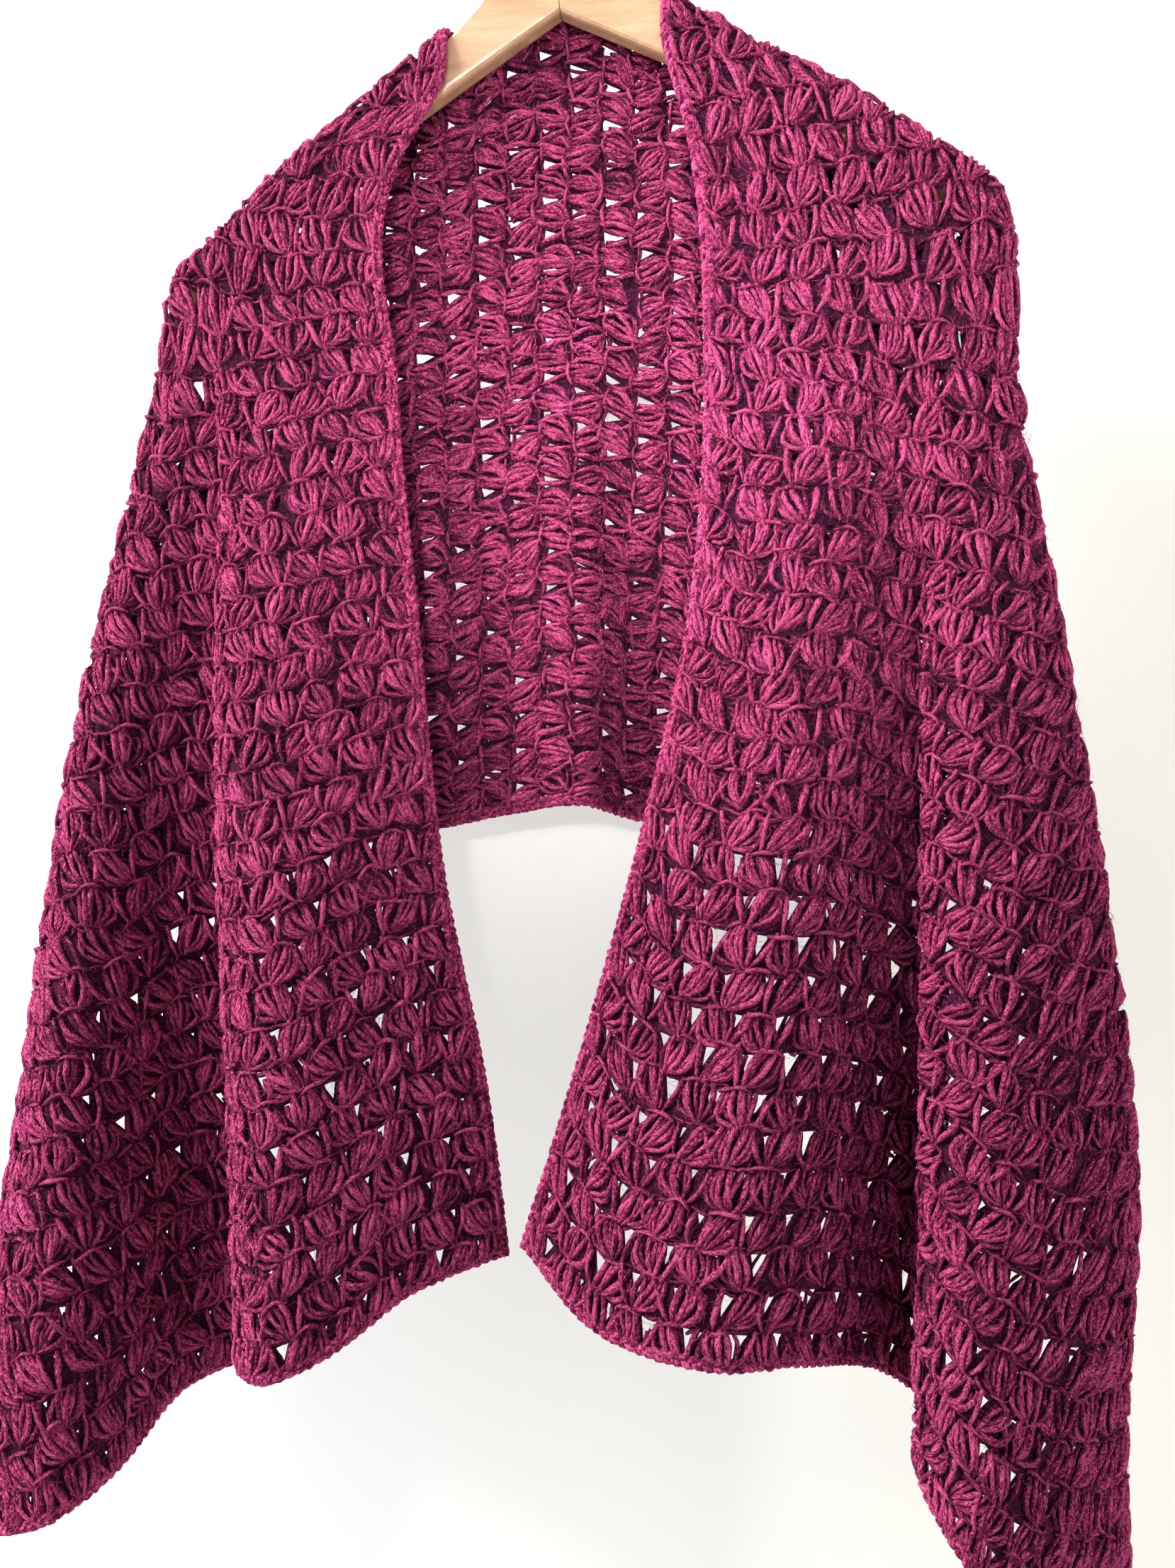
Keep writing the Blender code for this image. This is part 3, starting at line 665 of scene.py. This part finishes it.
edgings = {"left": [], "right": [], "back": []}
many = 120  # points at which an edge is measured
for label, drape in (("left", left), ("right", right)):
    wide = drape.across[-1]
    whole_drop, below_hem = np.linspace(0.004, 1.0, many), np.linspace(HEM_DROP, 1.0, many)
    end = np.linspace(1.0, wide - 1.0, many)
    edgings[label] += [
        edging(f"edging_front_{label}", drape, np.zeros(many), whole_drop, (2.0, 0.0)),
        edging(f"edging_end_{label}", drape, end, np.ones(many), (0.0, -0.004)),
        edging(f"edging_side_{label}", drape, np.full(many, wide), below_hem, (-2.0, 0.0)),
    ]
order = ["left_seam", *(row[0] for row in BACK_FOLDS), "right_seam"]
neck = [back.across[order.index(name)] for name in ("left_neck_back", "right_neck_back")]
edgings["back"] += [
    edging("edging_neck", back, np.linspace(neck[0] + 5, neck[1] - 5, many), np.zeros(many), (0.0, 0.01)),
    edging("edging_hem", back, np.linspace(1.0, back.across[-1] - 1.0, many), np.ones(many), (0.0, -0.004)),
]

# what the cloth stretches were cut to, in metres
SOLID = {"left": "shawl_front_left", "right": "shawl_front_right", "back": "shawl_back"}
for name in STRETCHES:
    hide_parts(SOLID[name])


# materials
def node_group(name, inputs, outputs):
    """An empty shader group with named sockets."""
    group = bpy.data.node_groups.new(name, "ShaderNodeTree")
    for label, kind, value in inputs:
        socket = group.interface.new_socket(label, in_out="INPUT", socket_type=kind)
        if value is not None:
            socket.default_value = value
    for label, kind in outputs:
        group.interface.new_socket(label, in_out="OUTPUT", socket_type=kind)
    return group, group.nodes.new("NodeGroupInput"), group.nodes.new("NodeGroupOutput")


class Wiring:
    """Short words for adding nodes to a tree."""

    def __init__(self, tree):
        self.tree = tree

    def add(self, kind, values=(), **options):
        made = self.tree.nodes.new(kind)
        for key, value in options.items():
            setattr(made, key, value)
        for key, value in dict(values).items():
            if isinstance(value, bpy.types.NodeSocket):
                self.tree.links.new(value, made.inputs[key])
            else:
                made.inputs[key].default_value = value
        return made

    def math(self, operation, a, b=None, c=None):
        values = {0: a}
        if b is not None:
            values[1] = b
        if c is not None:
            values[2] = c
        return self.add("ShaderNodeMath", values, operation=operation).outputs[0]

    def mix(self, factor, a, b):
        made = self.tree.nodes.new("ShaderNodeMix")
        made.data_type = "RGBA"
        for index, value in ((0, factor), (6, a), (7, b)):
            if isinstance(value, bpy.types.NodeSocket):
                self.tree.links.new(value, made.inputs[index])
            else:
                made.inputs[index].default_value = value
        return made.outputs[2]

    def ramp(self, value, stops):
        made = self.tree.nodes.new("ShaderNodeValToRGB")
        self.tree.links.new(value, made.inputs[0])
        ramp = made.color_ramp
        while len(ramp.elements) < len(stops):
            ramp.elements.new(0.5)
        for element, (place, colour) in zip(ramp.elements, stops):
            element.position, element.color = place, colour
        return made.outputs[0]

    def link(self, a, b):
        self.tree.links.new(a, b)


def heather_group():
    """Heather yarn: plies that slant both ways to a V, as loops do, with fibres and flecks along them, and
    painted shade in the ply creases and where the wool lies low.
    """
    group, given, out = node_group(
        "heather",
        (
            ("Light", "NodeSocketColor", (0.5, 0.06, 0.2, 1)),
            ("Main", "NodeSocketColor", (0.3, 0.02, 0.09, 1)),
            ("Dark", "NodeSocketColor", (0.08, 0.01, 0.05, 1)),
            ("Strand", "NodeSocketVector", (0, 0, 0)),
            ("Tone", "NodeSocketFloat", 0.5),
            ("Lift Shade", "NodeSocketFloat", 0.5),
            ("Twists", "NodeSocketFloat", 1.8),
            ("Plies", "NodeSocketFloat", 6.0),
        ),
        (("Color", "NodeSocketColor"), ("Height", "NodeSocketFloat")),
    )
    w = Wiring(group)
    given = given.outputs
    place = w.add("ShaderNodeTexCoord").outputs["Object"]
    part = w.add("ShaderNodeSeparateXYZ", {0: given["Strand"]}).outputs
    # the creases between the plies: sharp valleys across a round top, slanting to a V round the strand, for
    # the bump and for painted shade in the creases
    stray = w.add("ShaderNodeTexNoise", {"Vector": place, "Scale": 330.0, "Detail": 2.0}).outputs["Fac"]
    across = w.math("PINGPONG", part[1], 0.5)
    angle = w.math("MULTIPLY_ADD", part[0], given["Twists"], w.math("MULTIPLY", across, given["Plies"]))
    angle = w.math("MULTIPLY_ADD", stray, 2.4, angle)
    ply = w.math("ABSOLUTE", w.math("SINE", w.math("MULTIPLY", angle, math.pi)))
    ply = w.math("POWER", ply, 0.6)
    fibre_place = w.add("ShaderNodeCombineXYZ", {
        0: w.math("MULTIPLY", part[0], 6.0), 1: w.math("MULTIPLY_ADD", angle, 2.0, part[1]),
        2: w.math("MULTIPLY", given["Tone"], 40.0)}).outputs[0]
    fibre = w.add("ShaderNodeTexNoise", {
        "Vector": fibre_place, "Scale": 1.6, "Detail": 3.0, "Roughness": 0.7})
    fleck = w.add("ShaderNodeTexNoise", {"Vector": place, "Scale": 600.0, "Detail": 4.0, "Roughness": 0.8})
    drift = w.add("ShaderNodeTexNoise", {"Vector": place, "Scale": 30.0, "Detail": 2.0})
    # how pale the wool is, from 0 to 1: each part below adds some and takes away about half of it again
    value = w.math("MULTIPLY_ADD", fibre.outputs["Fac"], 2.0, -1.0)
    value = w.math("MULTIPLY_ADD", fleck.outputs["Fac"], 3.4, w.math("ADD", value, -1.72))
    value = w.math("MULTIPLY_ADD", drift.outputs["Fac"], 0.35, w.math("ADD", value, -0.175))
    value = w.math("MULTIPLY_ADD", given["Tone"], 0.24, w.math("ADD", value, -0.12))
    # painted shade: darker in the creases between the plies, paler on the ply tops
    value = w.math("MULTIPLY_ADD", ply, 0.6, w.math("ADD", value, -0.3))
    which = w.math("MULTIPLY_ADD", given["Tone"], 37.0, w.math("FLOOR", angle))
    own = w.add("ShaderNodeTexWhiteNoise", {"W": which}, noise_dimensions="1D").outputs["Value"]
    value = w.math("MULTIPLY_ADD", own, 0.7, w.math("ADD", value, -0.35))
    # painted shade: the lower the wool lies towards the middle of the cloth, the darker it is
    value = w.math("MULTIPLY_ADD", given["Lift Shade"], 0.75, w.math("ADD", value, -0.05))
    low = w.math("MINIMUM", w.math("MAXIMUM", w.math("MULTIPLY", value, 2.0), 0.0), 1.0)
    high = w.math("MINIMUM", w.math("MAXIMUM", w.math("MULTIPLY_ADD", value, 2.0, -1.0), 0.0), 1.0)
    colour = w.mix(low, given["Dark"], given["Main"])
    colour = w.mix(high, colour, given["Light"])
    w.link(colour, out.inputs["Color"])
    rough = w.math("MULTIPLY_ADD", fibre.outputs["Fac"], 0.9, w.math("MULTIPLY", fleck.outputs["Fac"], 0.7))
    w.link(w.math("MULTIPLY_ADD", ply, 0.9, rough), out.inputs["Height"])
    return group


HEATHER = heather_group()


def wool_material(name, light, main, dark, twists=5.0, plies=6.0, strands=True):
    """Plied, fuzzy wool, painted darker in the ply creases and where it lies low, as shade. The cloth behind
    the strands has no strands of its own to follow.
    """
    made = bpy.data.materials.new(name)
    made.use_nodes = True
    made.node_tree.nodes.clear()
    w = Wiring(made.node_tree)
    heather = w.add("ShaderNodeGroup", node_tree=HEATHER)
    for key, value in (("Light", light), ("Main", main), ("Dark", dark)):
        heather.inputs[key].default_value = (*value, 1)
    heather.inputs["Twists"].default_value = twists
    heather.inputs["Plies"].default_value = plies
    if strands:
        w.link(w.add("ShaderNodeAttribute", attribute_name="tone").outputs["Fac"], heather.inputs["Tone"])
        # how proud the wool stands, which paints it darker where it lies low
        w.link(w.add("ShaderNodeAttribute", attribute_name="rise").outputs["Fac"], heather.inputs["Lift Shade"])
        w.link(w.add("ShaderNodeUVMap", uv_map="ply").outputs["UV"], heather.inputs["Strand"])
    else:
        place = w.add("ShaderNodeTexCoord").outputs["Object"]
        patches = w.add("ShaderNodeTexNoise", {"Vector": place, "Scale": 60.0})
        w.link(patches.outputs["Color"], heather.inputs["Strand"])
        # the sheet lies low at a fixed lift, so it takes painted shade all over
        heather.inputs["Lift Shade"].default_value = 0.3
    relief = w.add("ShaderNodeBump", {
        "Height": heather.outputs["Height"], "Strength": 1.0, "Distance": 0.0011})
    shader = w.add("ShaderNodeBsdfPrincipled", {
        "Base Color": heather.outputs["Color"], "Roughness": 0.95, "Normal": relief.outputs[0]})
    shader.inputs["Sheen Weight"].default_value = 0.18
    shader.inputs["Sheen Roughness"].default_value = 0.4
    shader.inputs["Sheen Tint"].default_value = (0.95, 0.16, 0.42, 1)
    shader.inputs["Specular IOR Level"].default_value = 0.1
    w.link(shader.outputs[0], w.add("ShaderNodeOutputMaterial").inputs[0])
    return made


# three heather tones; the dark end is reached by random heather and also by painted shade in ply creases and
# low strands
LIGHT_WOOL, MAIN_WOOL, DARK_WOOL = (0.66, 0.095, 0.26), (0.27, 0.015, 0.076), (0.035, 0.004, 0.028)
strand_wool = wool_material("heather_wool", LIGHT_WOOL, MAIN_WOOL, DARK_WOOL)
# painted shade: the sheet behind the strands is coloured far darker than the yarn, because the gaps between
# strands are in shade
SHADED_GROUND_LIGHT, SHADED_GROUND_MAIN, SHADED_GROUND_DARK = (0.13, 0.013, 0.055), (0.045, 0.004, 0.02), (0.012, 0.002, 0.012)
shaded_ground_wool = wool_material("painted_shade_ground_wool", SHADED_GROUND_LIGHT, SHADED_GROUND_MAIN, SHADED_GROUND_DARK, strands=False)
edge_wool = wool_material("edging_wool", LIGHT_WOOL, MAIN_WOOL, DARK_WOOL, twists=3.0, plies=4.0)
for name in STRETCHES:
    grounds[name].data.materials.append(shaded_ground_wool)
    for piece in yarns[name]:
        piece.data.materials.append(strand_wool)
    for piece in edgings[name]:
        piece.data.materials.append(edge_wool)


def wood_material():
    made = bpy.data.materials.new("beech")
    made.use_nodes = True
    made.node_tree.nodes.clear()
    w = Wiring(made.node_tree)
    place = w.add("ShaderNodeTexCoord").outputs["Object"]
    stretched = w.add("ShaderNodeMapping", {"Vector": place, "Scale": (9.0, 60.0, 60.0)}).outputs[0]
    grain = w.add("ShaderNodeTexNoise", {
        "Vector": stretched, "Scale": 3.0, "Detail": 6.0, "Roughness": 0.65})
    pores = w.add("ShaderNodeTexNoise", {"Vector": stretched, "Scale": 16.0, "Detail": 3.0})
    colour = w.ramp(grain.outputs["Fac"], (
        (0.25, (0.32, 0.17, 0.085, 1)), (0.5, (0.46, 0.27, 0.15, 1)), (0.8, (0.56, 0.36, 0.22, 1))))
    relief = w.add("ShaderNodeBump", {"Height": pores.outputs["Fac"], "Strength": 0.15, "Distance": 0.0004})
    shader = w.add("ShaderNodeBsdfPrincipled", {"Base Color": colour, "Normal": relief.outputs[0],
                   "Roughness": w.math("MULTIPLY_ADD", pores.outputs["Fac"], 0.2, 0.33)})
    shader.inputs["Coat Weight"].default_value = 0.25
    shader.inputs["Coat Roughness"].default_value = 0.25
    w.link(shader.outputs[0], w.add("ShaderNodeOutputMaterial").inputs[0])
    return made


def steel_material():
    made = bpy.data.materials.new("steel_wire")
    made.use_nodes = True
    made.node_tree.nodes.clear()
    w = Wiring(made.node_tree)
    place = w.add("ShaderNodeTexCoord").outputs["Object"]
    scratch = w.add("ShaderNodeTexNoise", {"Vector": place, "Scale": 900.0, "Detail": 4.0})
    colour = w.ramp(scratch.outputs["Fac"], ((0.3, (0.42, 0.42, 0.42, 1)), (0.7, (0.66, 0.66, 0.65, 1))))
    relief = w.add("ShaderNodeBump", {"Height": scratch.outputs["Fac"], "Strength": 0.1, "Distance": 0.0002})
    shader = w.add("ShaderNodeBsdfPrincipled", {"Base Color": colour, "Normal": relief.outputs[0],
                   "Roughness": w.math("MULTIPLY_ADD", scratch.outputs["Fac"], 0.25, 0.12), "Metallic": 1.0})
    w.link(shader.outputs[0], w.add("ShaderNodeOutputMaterial").inputs[0])
    return made


wood, steel = wood_material(), steel_material()
nodes = frame["nodes"]
for name, finish in (("hanger_arm_left", wood), ("hanger_arm_right", wood), ("hook", steel)):
    for slot in nodes[name].material_slots:
        slot.material = finish


# the wall behind, the floor and the window light
def plane(name, corners, material):
    mesh = bpy.data.meshes.new(name)
    mesh.from_pydata([Vector(c) for c in corners], [], [(0, 1, 2, 3)])
    made = bpy.data.objects.new(name, mesh)
    bpy.context.scene.collection.objects.link(made)
    mesh.materials.append(material)
    return made


def plaster(name, left_colour, right_colour, glow, one_sided):
    """Matt paint with painted window light: cooler towards the window on the left, warmer to the right, and
    glowing by glow so that it looks lit.
    """
    made = bpy.data.materials.new(name)
    made.use_nodes = True
    made.node_tree.nodes.clear()
    w = Wiring(made.node_tree)
    x = w.add("ShaderNodeSeparateXYZ", {0: w.add("ShaderNodeTexCoord").outputs["Object"]}).outputs[0]
    share = w.add("ShaderNodeMapRange", {0: x, 1: -0.3, 2: 0.35}).outputs[0]
    colour = w.mix(share, (*left_colour, 1), (*right_colour, 1))
    shader = w.add("ShaderNodeBsdfPrincipled", {
        "Base Color": colour, "Roughness": 0.9,
        "Emission Color": colour, "Emission Strength": glow}).outputs[0]
    if one_sided:
        clear = w.add("ShaderNodeBsdfTransparent").outputs[0]
        behind = w.add("ShaderNodeNewGeometry").outputs["Backfacing"]
        shader = w.add("ShaderNodeMixShader", {0: behind, 1: shader, 2: clear}).outputs[0]
    w.link(shader, w.add("ShaderNodeOutputMaterial").inputs[0])
    return made


WALL_Y, FLOOR_Z = 0.085, -1.9
# the wall glows as if lit, and its left-to-right tint is painted window light
plane("wall", ((-3, WALL_Y, FLOOR_Z), (3, WALL_Y, FLOOR_Z), (3, WALL_Y, 1.6), (-3, WALL_Y, 1.6)),
      plaster("white_wall", (0.50, 0.51, 0.51), (0.44, 0.435, 0.40), 1.25, True))
plane("floor", ((-3, -4, FLOOR_Z), (3, -4, FLOOR_Z), (3, WALL_Y, FLOOR_Z), (-3, WALL_Y, FLOOR_Z)),
      plaster("pale_floor", (0.62, 0.6, 0.57), (0.62, 0.6, 0.57), 0.0, False))


def area_light(name, place, aim, size, power, colour):
    data = bpy.data.lights.new(name, "AREA")
    data.shape, data.size, data.size_y = "RECTANGLE", size[0], size[1]
    data.energy, data.color = power, colour
    made = bpy.data.objects.new(name, data)
    bpy.context.scene.collection.objects.link(made)
    made.matrix_world = Matrix.Translation(Vector(place)) @ (
        (Vector(place) - Vector(aim)).to_track_quat("Z", "Y").to_matrix().to_4x4()
    )
    return made


# name, place, where it points, size, power, colour
LIGHTS = (
    ("window", (-2.0, -1.15, 1.5), (0.0, 0.0, -0.5), (1.2, 1.4), 235.0, (1.0, 0.98, 0.94)),
    ("room", (1.8, -2.4, 0.3), (0.0, 0.0, -0.5), (2.2, 2.2), 16.0, (1.0, 0.93, 0.86)),
    ("right_bounce", (1.5, -0.45, -0.5), (0.25, 0.0, -0.5), (0.8, 1.2), 12.0, (1.0, 0.96, 0.92)),
    ("left_bounce", (-1.5, -0.45, -0.6), (-0.25, 0.0, -0.6), (0.8, 1.2), 12.0, (0.96, 0.97, 1.0)),
    ("front_window", (0.15, -2.2, -0.1), (0.045, 0.0, -0.33), (0.3, 0.3), 0.8, (1.0, 0.97, 0.95)),
)
lights = {row[0]: area_light(*row) for row in LIGHTS}
lights["front_window"].data.spread = math.radians(13)  # a narrow beam, into the open front
world = bpy.data.worlds.new("room")
bpy.context.scene.world = world
world.use_nodes = True
world.node_tree.nodes["Background"].inputs[0].default_value = (0.66, 0.78, 1.0, 1)
world.node_tree.nodes["Background"].inputs[1].default_value = 0.28
bpy.context.scene.view_settings.view_transform = "Standard"

bpy.context.view_layer.update()
